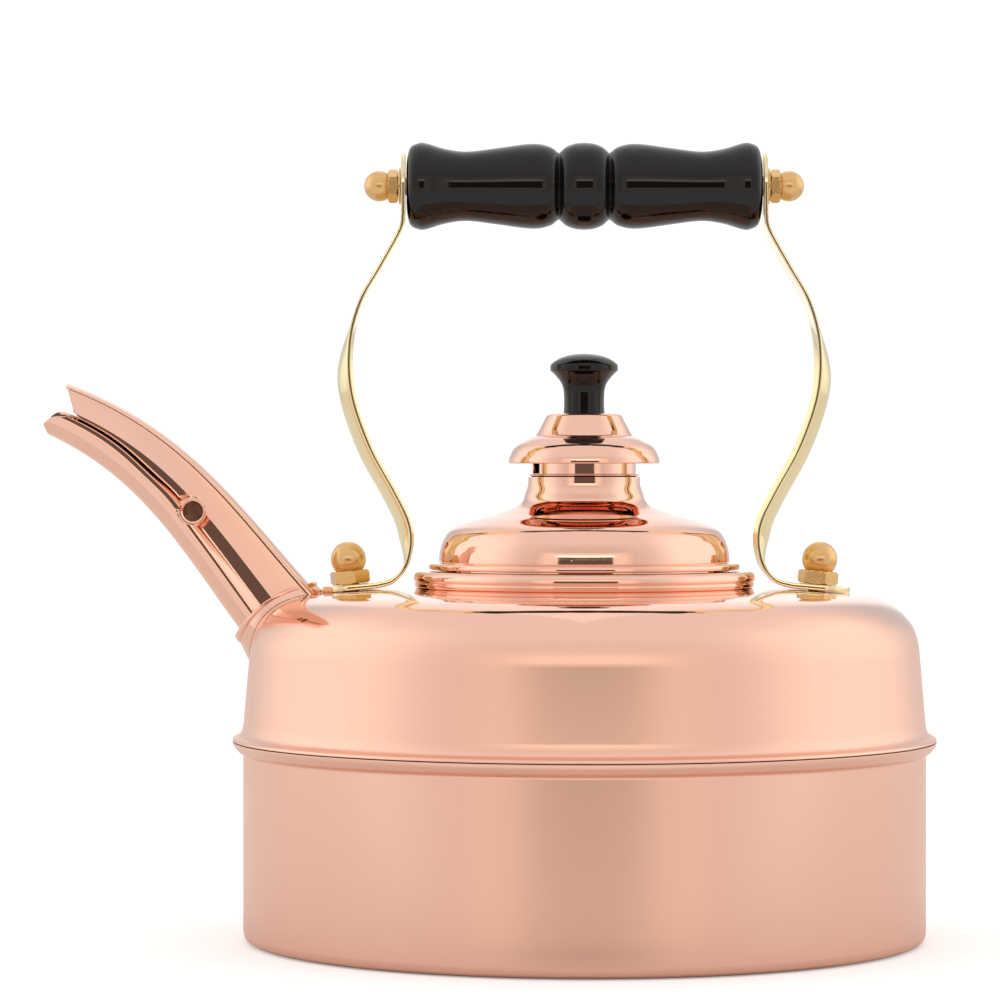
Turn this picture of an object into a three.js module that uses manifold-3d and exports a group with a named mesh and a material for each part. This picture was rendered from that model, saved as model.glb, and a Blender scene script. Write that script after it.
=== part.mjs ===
// Stovetop whistling kettle: spun copper body, two-lobed copper spout, lifting lid
// with a turning steam vent, and a turned black grip on a rod between brass straps.
// Millimetres, +Z up, origin at the centre of the flat base, spout towards -X.
import * as THREE from 'three';
import { mergeVertices } from 'three/addons/utils/BufferGeometryUtils.js';
import Module from 'manifold-3d';

const wasm = await Module();
wasm.setup();

// ---- Driving dimensions, mm ----
const GAP = 0.3;                 // clearance between pieces that touch
const SHEET = 1.2;               // copper sheet of the body
const LID_SHEET = 1.0;
const BODY_R = 98.4;             // outer radius of the lower wall
const BASE_CORNER = 3;
const SEAM_R = 101.5;            // edge of the folded seam
const SEAM_Z = 57.5;             // joint line between the two halves
const NECK_R = 44.5;             // opening in the shoulder
const COLLAR_R = 49.4;
const COLLAR_BORE = 42.0;
const COLLAR_TOP = 106.4;
const LID_R = 45.1;
const SKIRT_R = 41.4;
const LID_NECK_R = 16.2;
const LID_TOP = 133.3;
const TUBE_R = 15.0;             // steam vent tube, turns in the neck of the lid
const TUBE_WALL = 0.8;
const HOOD_R = 21.9;
const HOOD_FOOT = 137.2;
const HOOD_TOP = 151.6;
const KNOB_TOP = 169.0;
const GRIP_Z = 217.3;
const GRIP_HALF = 51.2;
const GRIP_R = 12.6;
const STRAP_T = 1.2;
const STRAP_HALF = 9.2;          // half the width of a handle strap
const TAB_X = 51.5;              // inner face of the strap beside the grip
const ROD_R = 2.5;
const ROD_BORE = 2.8;
const STUD_X = 67.3;             // where a strap foot is bolted to the shoulder
const STUD_Z = 100.7;
const STUD_LEAN = THREE.MathUtils.degToRad(5.3);
const WHISTLE = { x: -112.8, z: 123.4, r: 2.85, wall: 0.9, half: 6.0 };
const ROUND = 40;                // segments of the large turned pieces

// ---- Materials ----
function metal(color, roughness) {
  return new THREE.MeshStandardMaterial({ color, roughness, metalness: 1 });
}
const copper = metal(0xf0b090, 0.22);
const satinCopper = metal(0xeaa888, 0.38);
const brass = metal(0xe6d296, 0.2);
const satinBrass = metal(0xd9a860, 0.38);
const steel = metal(0xb8b8b8, 0.35);
const black = new THREE.MeshStandardMaterial({ color: 0x14100f, roughness: 0.12 });

// ---- Geometry helpers ----
function welded(geometry) {
  const bare = geometry.clone();
  bare.deleteAttribute('normal');
  bare.deleteAttribute('uv');
  const merged = mergeVertices(bare, 1e-4);
  const index = merged.getIndex().array;
  const kept = [];
  for (let i = 0; i < index.length; i += 3) {
    const [a, b, c] = [index[i], index[i + 1], index[i + 2]];
    if (a !== b && b !== c && c !== a) kept.push(a, b, c);
  }
  merged.setIndex(kept);
  return merged;
}

function solid(geometry) {
  const mesh = welded(geometry);
  return new wasm.Manifold(new wasm.Mesh({
    numProp: 3,
    vertProperties: new Float32Array(mesh.getAttribute('position').array),
    triVerts: new Uint32Array(mesh.getIndex().array),
  }));
}

function surface(manifold) {
  const mesh = manifold.getMesh();
  const geometry = new THREE.BufferGeometry();
  geometry.setAttribute('position', new THREE.BufferAttribute(mesh.vertProperties, 3));
  geometry.setIndex(new THREE.BufferAttribute(mesh.triVerts, 1));
  geometry.computeVertexNormals();
  return geometry;
}

function cut(geometry, ...tools) {
  return surface(tools.reduce((rest, tool) => rest.subtract(solid(tool)), solid(geometry)));
}

function join(geometry, ...others) {
  return surface(others.reduce((sum, other) => sum.add(solid(other)), solid(geometry)));
}

// Turns a profile of [radius, height] points, anticlockwise, round the Z axis.
function turned(profile, segments = ROUND) {
  const points = profile.map(([r, z]) => new THREE.Vector2(r, z));
  if (profile[0][0] > 0) points.push(points[0].clone());
  return new THREE.LatheGeometry(points, segments).rotateX(Math.PI / 2);
}

function rod(radius, low, high, segments = 16) {
  return turned([[0, low], [radius, low], [radius, high], [0, high]], segments);
}

function hexagon(across, low, high) {
  return rod(across / Math.sqrt(3), low, high, 6);
}

function bezier(a, b, c, d, steps) {
  const curve = new THREE.CubicBezierCurve(...[a, b, c, d].map((p) => new THREE.Vector2(...p)));
  return curve.getPoints(steps).map((p) => [p.x, p.y]);
}

function spline(points, steps) {
  const curve = new THREE.SplineCurve(points.map((p) => new THREE.Vector2(...p)));
  return curve.getPoints(steps).map((p) => [p.x, p.y]);
}

// The same outline moved by a distance to its left-hand side.
function offset(points, distance) {
  return points.map(([x, y], i) => {
    const before = points[Math.max(i - 1, 0)];
    const after = points[Math.min(i + 1, points.length - 1)];
    const length = Math.hypot(after[0] - before[0], after[1] - before[1]);
    const side = [-(after[1] - before[1]) / length, (after[0] - before[0]) / length];
    return [x + side[0] * distance, y + side[1] * distance];
  });
}

// Six times the volume inside a closed surface; negative where its faces point inwards.
function signedVolume(positions, index) {
  const corner = (k) => new THREE.Vector3().fromArray(positions, 3 * index[k]);
  let sum = 0;
  for (let i = 0; i < index.length; i += 3) {
    sum += corner(i).dot(corner(i + 1).cross(corner(i + 2)));
  }
  return sum;
}

// A grid of points closed round its columns; the rows are capped, or closed on themselves.
function gridSolid(rows, closedRows) {
  const columns = rows[0].length;
  const positions = rows.flat(2);
  const index = [];
  const last = closedRows ? rows.length : rows.length - 1;
  for (let i = 0; i < last; i += 1) {
    for (let j = 0; j < columns; j += 1) {
      const a = i * columns + j;
      const b = i * columns + (j + 1) % columns;
      const c = ((i + 1) % rows.length) * columns + j;
      const d = ((i + 1) % rows.length) * columns + (j + 1) % columns;
      index.push(a, b, d, a, d, c);
    }
  }
  if (!closedRows) {
    const end = (rows.length - 1) * columns;
    for (let j = 1; j < columns - 1; j += 1) {
      index.push(0, j + 1, j, end, end + j, end + j + 1);
    }
  }
  if (signedVolume(positions, index) < 0) index.reverse();
  const geometry = new THREE.BufferGeometry();
  geometry.setAttribute('position', new THREE.Float32BufferAttribute(positions, 3));
  geometry.setIndex(index);
  return geometry;
}

// ---- Body ----
function lowerPan() {
  const corner = bezier([BODY_R - BASE_CORNER, 0], [BODY_R - 1, 0], [BODY_R, 1],
    [BODY_R, BASE_CORNER], 3);
  const seamUnderside = [[BODY_R, 53.8], [BODY_R + 1, 54.5], [BODY_R + 2.5, 56.2],
    [SEAM_R, SEAM_Z - 0.2]];
  const inside = BODY_R - SHEET;
  return turned([[0, 0], ...corner, ...seamUnderside, [inside, SEAM_Z - 0.2],
    [inside, BASE_CORNER + 1], [inside - 2.5, SHEET], [0, SHEET]]);
}

function shellOutline() {
  const seamTop = [[SEAM_R, SEAM_Z + 0.2], [SEAM_R - 0.2, 58.4], [99.5, 59.4], [98.4, 61.5]];
  const corner = bezier([96.5, 82], [96.2, 91.5], [91, 98.3], [80, 99.5], 6);
  return [...seamTop, ...corner, [62, 101.0], [NECK_R, 101.5]];
}

// Everything inside the outer face of the body, used to trim what stands on it.
function bodyEnvelope() {
  const outline = offset(shellOutline().slice(3), -GAP);
  return turned([[0, 40], [outline[0][0], 40], ...outline, [0, 101.8]]);
}

// Moves a piece made on the Z axis onto a strap stud; side is -1 for left, 1 for right.
function onStud(geometry, side) {
  return geometry.rotateY(side * STUD_LEAN).translate(side * STUD_X, 0, STUD_Z);
}

function upperShell() {
  const outline = shellOutline();
  const inner = offset(outline.slice(3), SHEET).reverse();
  inner[0] = [NECK_R, 101.5 - SHEET];
  const wall = turned([...outline, ...inner, [BODY_R - SHEET, SEAM_Z + 0.2]]);
  const studHoles = [-1, 1].map((side) => onStud(rod(ROD_BORE, -6, 6), side));
  return cut(wall, spoutBore(), ...studHoles);
}

function neckCollar() {
  const sleeve = NECK_R - GAP;
  return turned([[COLLAR_BORE, 98.5], [sleeve, 98.5], [sleeve, 101.9], [48.4, 101.9],
    [COLLAR_R - 0.2, 102.4], [COLLAR_R, 103.2], [COLLAR_R - 0.3, 104.1], [48.3, 104.6],
    [49.0, 105.0], [49.0, 105.9], [48.4, COLLAR_TOP], [COLLAR_BORE, COLLAR_TOP]]);
}

// ---- Spout: a tube of two lobes along a curve in the XZ plane ----
const SPOUT = {
  line: new THREE.CubicBezierCurve(new THREE.Vector2(-87.6, 93.6),
    new THREE.Vector2(-108.0, 118.5), new THREE.Vector2(-120.8, 140.9),
    new THREE.Vector2(-153.7, 153.7)),
  root: -8,                       // how far the tube is started inside the body
  halfHeight: [12.2, 7.8],        // at the root and at the mouth
  halfWidth: [9.8, 6.4],
  pinch: [0.5, 0.6],              // how far the sides are pressed in along the middle
  wall: 1.1,
};
const SPOUT_LENGTH = SPOUT.line.getLength();

// How far the mouth stands back from the end of the curve; 1 is the top, -1 the bottom.
function mouthSetback(level) {
  if (level > 0) return 2.6 + 6.0 * (1 - level) ** 1.3;
  return 1.2 + 7.4 * (1 + level) ** 3;
}

function spoutPoint(distance, angle, inset) {
  const along = distance / SPOUT_LENGTH;
  const u = THREE.MathUtils.clamp(along, 0, 1);
  const centre = SPOUT.line.getPointAt(u);
  const ahead = SPOUT.line.getTangentAt(u);
  const over = distance - u * SPOUT_LENGTH;
  const [h, w, pinch] = [SPOUT.halfHeight, SPOUT.halfWidth, SPOUT.pinch]
    .map(([from, to]) => from + (to - from) * u);
  const level = Math.sin(angle);
  const waist = Math.exp(-((level / 0.33) ** 2));
  const halfWidth = w * Math.cos(angle) * (1 - pinch * waist);
  const y = halfWidth - inset * Math.cos(angle);
  const up = (h - inset) * level;
  return [centre.x + ahead.x * over + ahead.y * up, y, centre.y + ahead.y * over - ahead.x * up];
}

function spoutShell() {
  const [steps, around] = [12, 28];
  const rows = [];
  const addRow = (t, inset) => {
    rows.push(Array.from({ length: around }, (_, j) => {
      const angle = (j / around) * 2 * Math.PI;
      const end = SPOUT_LENGTH - mouthSetback(Math.sin(angle));
      return spoutPoint(SPOUT.root + t * (end - SPOUT.root), angle, inset);
    }));
  };
  for (let i = 0; i <= steps; i += 1) addRow(i / steps, 0);
  for (let i = steps; i >= 0; i -= 1) addRow(i / steps, SPOUT.wall);
  const hole = rod(WHISTLE.r + WHISTLE.wall + GAP, -20, 20, 20)
    .rotateX(Math.PI / 2).translate(WHISTLE.x, 0, WHISTLE.z);
  return cut(gridSolid(rows, true), bodyEnvelope(), hole);
}

// A tapered plug as wide as the passage at the root, which opens the shoulder to the spout.
function spoutBore() {
  const around = 24;
  const row = (distance) => Array.from({ length: around }, (_, j) => (
    spoutPoint(distance, (j / around) * 2 * Math.PI, SPOUT.wall)));
  return gridSolid([row(-14), row(6)], false);
}

// A beaded ring round the root; its sides ride up over the curve of the shoulder.
function spoutCollar() {
  const around = 32;
  const tilt = THREE.MathUtils.degToRad(33.7);
  const centre = [-88.2, 93.6];
  const [height0, width0] = [SPOUT.halfHeight[0] + 0.1, SPOUT.halfWidth[0] - 0.3];
  const saddle = 3.0;
  // size as a share of the bare ellipse, distance beyond it, and height along the ring's axis
  const section = [[1, 1.8, -9], [1, 1.8, -1.2], [1, 1.5, 0.6], [1, 1.7, 1.6], [1, 1.3, 2.3],
    [0.1, 0, 2.3]];
  const rows = section.map(([size, outward, height]) => Array.from({ length: around },
    (_, j) => {
      const angle = (j / around) * 2 * Math.PI;
      const along = (size * height0 + outward) * Math.cos(angle);
      const y = (size * width0 + outward) * Math.sin(angle);
      const rise = height + saddle * (size * Math.sin(angle)) ** 2;
      return [centre[0] + along * Math.cos(tilt) - rise * Math.sin(tilt), y,
        centre[1] + along * Math.sin(tilt) + rise * Math.cos(tilt)];
    }));
  return cut(gridSolid(rows, false), bodyEnvelope(), spoutCore());
}

// The outside of the spout and a little more, which the ring is cut away from.
function spoutCore() {
  const around = 32;
  const rows = [-14, -4, 2, 8, 14, 20].map((distance) => Array.from({ length: around },
    (_, j) => spoutPoint(distance, (j / around) * 2 * Math.PI, -GAP)));
  return gridSolid(rows, false);
}

function whistleTube() {
  const { r, wall, half } = WHISTLE;
  const ring = turned([[r, -half], [r + wall, -half], [r + wall, half], [r, half]], 20);
  const slit = new THREE.BoxGeometry(2 * r, 1.4, 7).translate(r + 0.6, 0, 0);
  const plate = rod(r + wall / 2, -0.4, 0.4, 20);
  return join(cut(ring, slit), plate).rotateX(Math.PI / 2).translate(WHISTLE.x, 0, WHISTLE.z);
}

// ---- Handle ----
// The strap's inner edge from the top of the tab down to the end of the foot.
function strapLine(side) {
  const bow = [[TAB_X, 209], [52.6, 204], [58.1, 193.8], [64.2, 183.4], [66.9, 168],
    [65.2, 152.1], [57.6, 136.5], [50.4, 122.5], [49.2, 113.5], [52.3, 105.2], [59.0, 101.9]];
  const tip = side > 0 ? [76.8, 100.2] : [75.6, 100.3];
  const top = GRIP_Z + 9.9;
  const roundEnd = [0.3, 1.5, 4, 9].map((d) => [TAB_X, top - d]);
  const foot = [0.5, 0.85, 0.96, 0.995].map((t) => [59 + (tip[0] - 59) * t,
    101.9 + (tip[1] - 101.9) * t]);
  return [...roundEnd, ...spline(bow, 24), ...foot];
}

// Half width of a strap: full, but closing on a semicircle near both ends.
function strapHalf(fromEnd) {
  const d = Math.min(fromEnd, STRAP_HALF);
  return Math.sqrt(STRAP_HALF ** 2 - (STRAP_HALF - d) ** 2);
}

function strap(side) {
  const inner = strapLine(side);
  const outer = offset(inner, STRAP_T);
  const total = inner.slice(1).reduce((sum, p, i) => (
    sum + Math.hypot(p[0] - inner[i][0], p[1] - inner[i][1])), 0);
  let run = 0;
  const rows = inner.map(([x, z], i) => {
    if (i > 0) run += Math.hypot(x - inner[i - 1][0], z - inner[i - 1][1]);
    const half = strapHalf(Math.min(run, total - run) + 0.3);
    // pressed into a channel between the grip and the foot, its back outwards
    const channel = 3.5 * THREE.MathUtils.smoothstep(-z, -182, -160)
      * THREE.MathUtils.smoothstep(z, 104, 118);
    const across = [-1, -0.6, -0.2, 0.2, 0.6, 1];
    const point = (base, v) => {
      const out = channel * (1 - v * v);
      const normal = [(outer[i][0] - x) / STRAP_T, (outer[i][1] - z) / STRAP_T];
      return [side * (base[0] + normal[0] * out), v * half * side, base[1] + normal[1] * out];
    };
    return [...across.map((v) => point(outer[i], v)),
      ...[...across].reverse().map((v) => point(inner[i], v))];
  });
  const rodHole = rod(ROD_BORE, 40, 60).rotateY(side * Math.PI / 2).translate(0, 0, GRIP_Z);
  const studHole = onStud(rod(ROD_BORE, -6, 6), side);
  return cut(gridSolid(rows, false), rodHole, studHole);
}

// A hexagon with a ball on top and a blind thread bore; height 0 is its seat.
function ballNut(across, hexHeight, ballCentre, ballR, depth) {
  const ball = bezier([ballR * 0.55, ballCentre - ballR * 0.84], [ballR * 1.25, ballCentre - 2],
    [ballR * 1.25, ballCentre + ballR], [0, ballCentre + ballR], 8);
  const stem = turned([[0, hexHeight - 1], [ballR * 0.6, hexHeight - 1], ...ball], 20);
  const nut = join(hexagon(across, 0, hexHeight), stem);
  return cut(nut, rod(ROD_BORE, -1, depth));
}

function ring(inner, outer, low, high) {
  return turned([[inner, low], [outer, low], [outer, high], [inner, high]], 24);
}

function onRodEnd(geometry, side) {
  return geometry.rotateY(side * Math.PI / 2).translate(0, 0, GRIP_Z);
}

function stud() {
  return turned([[0, -4.9], [5, -4.9], [5, -2.8], [ROD_R, -2.8], [ROD_R, 9.2], [0, 9.2]], 20);
}

function grip() {
  const half = spline([[GRIP_R, 0], [9.5, 7.3], [12.3, 14.6], [10.0, 33.8], [12.65, 46.5]], 12)
    .slice(1);
  const end = bezier([12.65, 46.5], [12.9, 49.5], [11.2, GRIP_HALF], [8.8, GRIP_HALF], 3).slice(1);
  const right = [...half, ...end];
  const left = right.map(([r, x]) => [r, -x]).reverse();
  const bore = ROD_R + 0.6;
  const profile = [[bore, -GRIP_HALF], ...left, [GRIP_R, 0], ...right, [bore, GRIP_HALF]];
  return turned(profile, 20).rotateY(Math.PI / 2).translate(0, 0, GRIP_Z);
}

// ---- Lid ----
function lidShell() {
  const dome = spline([[42.0, 109.6], [41.3, 113.5], [38.2, 118.7], [25.5, 122.6],
    [18.3, 125.8], [LID_NECK_R, 131.0]], 9);
  const outline = [...dome, [LID_NECK_R, LID_TOP]];
  const inner = offset(outline, LID_SHEET).reverse();
  inner[0] = [LID_NECK_R - 0.8, LID_TOP];
  const bore = SKIRT_R + GAP;
  return turned([[bore, COLLAR_TOP + GAP], [LID_R - 0.4, COLLAR_TOP + GAP], [LID_R, 107.3],
    [LID_R, 108.3], [LID_R - 0.5, 108.9], [42.8, 109.0], ...outline, ...inner.slice(0, -1),
    [bore, 109.0]]);
}

function lidSkirt() {
  return turned([[SKIRT_R - 1, 97], [SKIRT_R, 97], [SKIRT_R, 108.4], [SKIRT_R - 1, 108.4]]);
}

function ventTube() {
  const bore = TUBE_R - TUBE_WALL;
  const tube = turned([[bore, 122.3], [16.7, 122.3], [16.7, 123.1], [TUBE_R, 123.1],
    [TUBE_R, 133.6], [15.9, 133.6], [15.9, 134.1], [TUBE_R, 134.1], [TUBE_R, 143.0],
    [bore, 143.0]], 28);
  const slot = new THREE.BoxGeometry(10, 9.8, 3.0).translate(-TUBE_R, 0, 135.9)
    .rotateZ(11 * Math.PI / 180);
  return cut(tube, slot);
}

function ventHood() {
  const outline = [[HOOD_R, HOOD_FOOT], [21.8, 138.6], ...bezier([21.4, 140], [20.6, 142.6],
    [18, 144.2], [14.3, 145.1], 4), [12.5, 148.2], [10.8, 151.2]];
  const inner = offset(outline, 0.9).reverse();
  inner[0] = [9.6, HOOD_TOP - 0.9];
  inner[inner.length - 1] = [HOOD_R - 0.9, HOOD_FOOT];
  const hole = 2.6;
  return turned([...outline, [10.3, HOOD_TOP], [hole, HOOD_TOP], [hole, HOOD_TOP - 0.9],
    ...inner], 28);
}

function lidKnob() {
  const foot = HOOD_TOP + GAP;
  const waist = spline([[5.9, foot], [5.8, 154], [6.0, 158.8], [7.4, 161.6], [9.5, 163.9]], 8);
  const brim = bezier([9.8, 164.6], [10.0, 167], [5.5, KNOB_TOP], [0, KNOB_TOP], 6);
  const body = turned([[0, foot], ...waist, ...brim], 20);
  return cut(body, rod(2.6, foot - 1, 160.6));
}

function knobScrew() {
  return turned([[0, 146.8], [4.2, 146.8], [4.2, 149.2], [2.3, 149.2], [2.3, 160], [0, 160]], 20);
}

// ---- Assembly ----
const kettle = new THREE.Group();
function add(group, name, geometry, material) {
  const mesh = new THREE.Mesh(geometry, material);
  mesh.name = name;
  group.add(mesh);
}

const body = new THREE.Group();
add(body, 'lower_pan', lowerPan(), satinCopper);
add(body, 'upper_shell', upperShell(), satinCopper);
add(body, 'neck_collar', neckCollar(), copper);
add(body, 'spout_shell', spoutShell(), copper);
add(body, 'spout_collar', spoutCollar(), copper);
add(body, 'whistle_tube', whistleTube(), copper);

const handle = new THREE.Group();
for (const [side, name] of [[-1, 'left'], [1, 'right']]) {
  add(handle, `handle_strap_${name}`, strap(side), brass);
  add(handle, `strap_stud_${name}`, onStud(stud(), side), satinBrass);
  add(handle, `stud_washer_${name}`, onStud(ring(ROD_BORE, 6.5, -2.5, -1.5), side), steel);
  const footNut = ballNut(10.2, 3.8, 7.0, 5.1, 7.9).translate(0, 0, STRAP_T + 2 * GAP);
  add(handle, `strap_ball_nut_${name}`, onStud(footNut, side), satinBrass);
  const seat = TAB_X + STRAP_T + GAP;
  add(handle, `handle_washer_${name}`,
    onRodEnd(ring(ROD_BORE, 5.2, seat, seat + 0.5), side), satinBrass);
  const endNut = ballNut(8.4, 2.8, 5.4, 4.4, 5.7).translate(0, 0, seat + 0.5 + GAP);
  add(handle, `handle_ball_nut_${name}`, onRodEnd(endNut, side), satinBrass);
}
add(handle, 'handle_rod', rod(ROD_R, -59, 59).rotateY(Math.PI / 2).translate(0, 0, GRIP_Z), steel);
add(handle, 'handle_grip', grip(), black);

const lid = new THREE.Group();
add(lid, 'lid_shell', lidShell(), copper);
add(lid, 'lid_skirt', lidSkirt(), copper);
const cap = new THREE.Group();
add(cap, 'vent_tube', ventTube(), copper);
add(cap, 'vent_hood', ventHood(), copper);
add(cap, 'lid_knob', lidKnob(), black);
add(cap, 'knob_screw', knobScrew(), steel);
add(cap, 'knob_washer', ring(2.6, 5.2, 149.5, 150.4), steel);
lid.add(cap);

kettle.add(body, handle, lid);
export default kettle;
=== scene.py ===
# %% [markdown]
# # A copper stovetop kettle
#
# A kettle like this is spun, pressed and turned, so almost every part of it is a clean
# mathematical surface: an outline turned round an axis, or a section carried along a curve.
# This lesson makes each part as such a surface with numpy, lays it exactly where the
# engineering model says, and then gives it the finish that its maker would. It starts by
# loading that model, which stays fixed from here on.

import bmesh
import bpy
import numpy as np
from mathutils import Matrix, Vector


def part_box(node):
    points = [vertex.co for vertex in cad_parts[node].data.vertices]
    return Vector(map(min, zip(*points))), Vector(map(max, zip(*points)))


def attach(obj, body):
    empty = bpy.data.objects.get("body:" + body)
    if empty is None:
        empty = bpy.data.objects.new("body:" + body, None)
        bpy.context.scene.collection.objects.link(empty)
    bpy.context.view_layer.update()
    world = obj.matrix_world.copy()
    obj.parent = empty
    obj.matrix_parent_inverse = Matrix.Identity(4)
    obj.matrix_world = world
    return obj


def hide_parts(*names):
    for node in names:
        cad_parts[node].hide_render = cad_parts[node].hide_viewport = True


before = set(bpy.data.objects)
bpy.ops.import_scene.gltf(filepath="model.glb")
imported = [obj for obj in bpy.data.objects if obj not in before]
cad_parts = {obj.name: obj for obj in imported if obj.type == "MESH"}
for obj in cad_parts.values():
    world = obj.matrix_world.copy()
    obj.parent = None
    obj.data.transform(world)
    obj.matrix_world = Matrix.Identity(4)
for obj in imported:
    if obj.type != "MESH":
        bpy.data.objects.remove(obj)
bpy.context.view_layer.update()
MM = 0.001

# %% [markdown]
# Shapes are easier to think about in millimetres, so the outlines below use them, and one
# helper turns them into metres at the very end. Where a part meets another, its place is
# read from the boxes of the model's nodes and isn't typed in again.


# %% Places taken from the frame
def edges(node):
    """Lowest and highest corner of a node's box, in millimetres."""
    low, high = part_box(node)
    return np.array(low) / MM, np.array(high) / MM


SEAM_R = edges("lower_pan")[1][0]
PAN_TOP = edges("lower_pan")[1][2]
SHOULDER_TOP = edges("upper_shell")[1][2]
COLLAR_TOP = edges("neck_collar")[1][2]
COLLAR_R = edges("neck_collar")[1][0]
LID_R = edges("lid_shell")[1][0]
LID_TOP = edges("lid_shell")[1][2]
HOOD_R = edges("vent_hood")[1][0]
HOOD_FOOT = edges("vent_hood")[0][2]
HOOD_TOP = edges("vent_hood")[1][2]
KNOB_TOP = edges("lid_knob")[1][2]
GRIP_HALF = edges("handle_grip")[1][0]
GRIP_Z = (edges("handle_rod")[0][2] + edges("handle_rod")[1][2]) / 2
STRAP_TOP = edges("handle_strap_right")[1][2]
STRAP_HALF = edges("handle_strap_right")[1][1]
print(f"seam radius {SEAM_R:.1f}, lid top {LID_TOP:.1f}, grip axis {GRIP_Z:.1f} mm")

# %% [markdown]
# Outlines are lists of points in a plane. Three kinds are enough for the whole kettle:
# straight runs whose corners are softened, a Bezier arc, and a smooth curve through points.
# A softened corner matters more than it seems: a real edge always has a small radius, and
# that radius is what catches the light.


# %% Outlines
def bezier(a, b, c, d, count):
    """Cubic Bezier: (1-t)^3 a + 3(1-t)^2 t b + 3(1-t) t^2 c + t^3 d, at count values of t."""
    t = np.linspace(0, 1, count)[:, None]
    a, b, c, d = (np.asarray(p, float) for p in (a, b, c, d))
    return (1 - t) ** 3 * a + 3 * (1 - t) ** 2 * t * b + 3 * (1 - t) * t**2 * c + t**3 * d


def through(points, count):
    """Catmull-Rom curve: each stretch is the cubic that leaves and meets its end points
    along the chord between their neighbours."""
    p = np.asarray(points, float)
    p = np.vstack([2 * p[0] - p[1], p, 2 * p[-1] - p[-2]])
    s = np.linspace(0, len(p) - 3, count)
    i = np.minimum(s.astype(int), len(p) - 4)
    t = (s - i)[:, None]
    a, b, c, d = p[i], p[i + 1], p[i + 2], p[i + 3]
    return 0.5 * (2 * b + (c - a) * t + (2 * a - 5 * b + 4 * c - d) * t**2
                  + (3 * b - a - 3 * c + d) * t**3)


def softened(corners, steps=7, parts=1):
    """Straight runs between corners (x, y, softness); each corner is a quadratic arc that
    starts and ends its softness away from the corner point, and each run has some parts."""
    c = np.asarray(corners, float)
    p, soft = c[:, :2], c[:, 2]
    before, after = np.roll(p, 1, axis=0) - p, np.roll(p, -1, axis=0) - p
    reach = [np.maximum(np.linalg.norm(v, axis=1), 1e-9)[:, None] for v in (before, after)]
    trim = np.minimum(soft[:, None], 0.48 * np.minimum(*reach))
    trim[[0, -1]] = 0
    start, end = p + before / reach[0] * trim, p + after / reach[1] * trim
    t = np.linspace(0, 1, steps)[None, :, None]
    arcs = (1 - t) ** 2 * start[:, None] + 2 * (1 - t) * t * p[:, None] + t**2 * end[:, None]
    u = np.linspace(0, 1, parts + 1)[None, 1:-1, None]
    runs = end[:-1, None] * (1 - u) + start[1:, None] * u
    inner = np.concatenate([runs[:-1], arcs[1:-1]], axis=1).reshape(-1, 2)
    return np.vstack([p[:1], inner, runs[-1], p[-1:]])


def offset(outline, distance):
    """The outline moved by a distance to its left, along the normal of its own slope."""
    slope = np.gradient(outline, axis=0)
    slope /= np.linalg.norm(slope, axis=1)[:, None]
    return outline + distance * np.column_stack([-slope[:, 1], slope[:, 0]])


print("a softened right angle has", len(softened([(0, 0, 0), (5, 0, 1), (5, 5, 0)])), "points")

# %% [markdown]
# Every piece is a grid of points. The grid can close on itself across (round an axis) and
# along (so that a sheet of metal has an inside as well as an outside). Double points at a
# pole are merged, and the faces are turned outwards.


# %% Grid to mesh, and a turned piece
def piece(name, points, loop_rows=False, loop_columns=True, sharp=35, seal=False):
    """A mesh whose faces join neighbouring points of a grid of rows and columns, in mm."""
    rows, columns = points.shape[:2]
    ids = np.arange(rows * columns).reshape(rows, columns)
    ids = np.vstack([ids, ids[:1]]) if loop_rows else ids
    ids = np.hstack([ids, ids[:, :1]]) if loop_columns else ids
    quads = np.stack([ids[:-1, :-1], ids[1:, :-1], ids[1:, 1:], ids[:-1, 1:]], axis=-1)
    faces = quads.reshape(-1, 4).tolist()
    if seal:
        faces += [ids[0, :columns].tolist(), ids[-1, :columns].tolist()]
    mesh = bpy.data.meshes.new(name)
    mesh.from_pydata((points.reshape(-1, 3) * MM).tolist(), [], faces)
    work = bmesh.new()
    work.from_mesh(mesh)
    bmesh.ops.remove_doubles(work, verts=work.verts, dist=2e-6)
    bmesh.ops.dissolve_degenerate(work, edges=work.edges, dist=1e-7)
    bmesh.ops.recalc_face_normals(work, faces=work.faces)
    work.to_mesh(mesh)
    work.free()
    mesh.shade_smooth()
    mesh.set_sharp_from_angle(angle=np.radians(sharp))
    made = bpy.data.objects.new(name, mesh)
    bpy.context.scene.collection.objects.link(made)
    return made


def turned_grid(outline, segments=192):
    """Point = (r cos a, r sin a, z) for each (r, z) of the outline and each angle a."""
    a = np.linspace(0, 2 * np.pi, segments, endpoint=False)
    r, z = outline[:, :1], outline[:, 1:]
    return np.stack([r * np.cos(a), r * np.sin(a), z + 0 * a], axis=-1)


def laid(points, origin, along_z, along_x=(0, 1, 0)):
    """The grid with its Z axis turned to along_z and its X axis to along_x, then moved."""
    z = np.asarray(along_z, float) / np.linalg.norm(along_z)
    x = np.asarray(along_x, float) - np.dot(along_x, z) * z
    x /= np.linalg.norm(x)
    return np.asarray(origin, float) + points @ np.stack([x, np.cross(z, x), z])


def fit(made, body, slot, material, *nodes):
    """Says which body the piece rides on, which nodes it stands for, and its finish."""
    made.data.materials.append(material)
    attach(made, body)
    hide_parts(*nodes)
    print(f"{made.name}: {len(made.data.polygons)} faces")
    return made


# %% [markdown]
# ## Finishes
#
# Metals are a colour of reflection and a roughness. What makes them look real is the small
# scale: spinning leaves fine rings that follow the outline, polishing leaves faint waves and
# a few pits, and lacquer softens both. The rings are noise read from one number, the radius
# less the height, because that number changes steadily all the way along a spun outline.


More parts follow.
